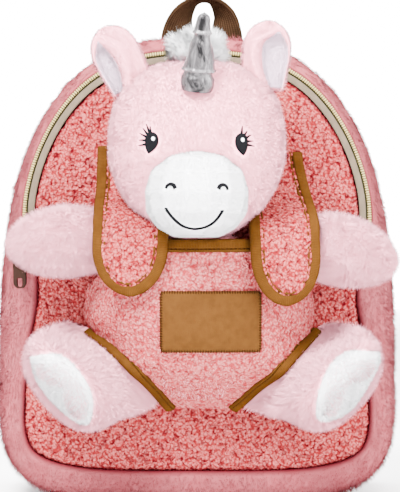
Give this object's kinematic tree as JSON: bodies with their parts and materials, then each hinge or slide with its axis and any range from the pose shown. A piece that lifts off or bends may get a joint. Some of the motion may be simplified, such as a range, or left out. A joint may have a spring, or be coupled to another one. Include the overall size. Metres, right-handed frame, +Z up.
{
  "type": "kids animal backpack",
  "caption": "Small arched fleece backpack for a child, with a plush unicorn seated in a bib on its front, a zipped top, a haul loop and padded shoulder straps.",
  "frame": {"origin": "middle of the flattened base, on the surface that the bag stands on", "axes": "+Z up, -Y out of the front where the toy sits, +X to the right as seen from the front"},
  "size_m": [0.239, 0.2684, 0.3074],
  "materials": {
    "fleece": "curly pile fleece",
    "bib_fleece": "curly pile fleece",
    "fur": "short fur",
    "plush": "soft short plush",
    "white_plush": "soft short plush",
    "binding": "ribbed binding tape",
    "leather": "suede-like imitation leather with overcast stitches",
    "webbing": "woven webbing",
    "tape": "woven zipper tape",
    "teeth": "coil zipper teeth",
    "hardware": "aged bronze plating",
    "silver_cloth": "crinkled metallic cloth",
    "plastic": "moulded strap adjuster"
  },
  "bodies": {
    "bag": {"front_panel": "fleece", "back_panel": "fur", "gusset": "fur", "zipper_tape": "tape", "zipper_teeth": "teeth", "zipper_slider": "hardware", "pouch_panel": "bib_fleece", "pouch_top_binding": "binding", "leg_binding_left": "binding", "leg_binding_right": "binding", "patch": "leather", "strap_flap_left": "fleece", "strap_flap_right": "fleece", "flap_binding_left": "binding", "flap_binding_right": "binding", "plush_head": "plush", "muzzle": "white_plush", "plush_torso": "plush", "arm_left": "plush", "arm_right": "plush", "leg_left": "plush", "leg_right": "plush", "foot_pad_left": "white_plush", "foot_pad_right": "white_plush", "horn": "silver_cloth", "mane": "white_plush", "ear_left": "plush", "ear_right": "plush", "ear_lining_left": "white_plush", "ear_lining_right": "white_plush", "haul_loop": "webbing", "shoulder_strap_left": "fur", "shoulder_strap_right": "fur", "strap_adjuster_left": "plastic", "strap_adjuster_right": "plastic", "strap_webbing_left": "webbing", "strap_webbing_right": "webbing"},
    "pull": {"zipper_pull": "hardware"}
  },
  "joints": [
    {"name": "pull_swing", "type": "hinge", "parent": "bag", "child": "pull", "pos_m": [-0.10557, -0.05899, 0.15393], "axis": [-0.9108, 0.4106, -0.0422], "range_deg": [0, 170]}
  ]
}
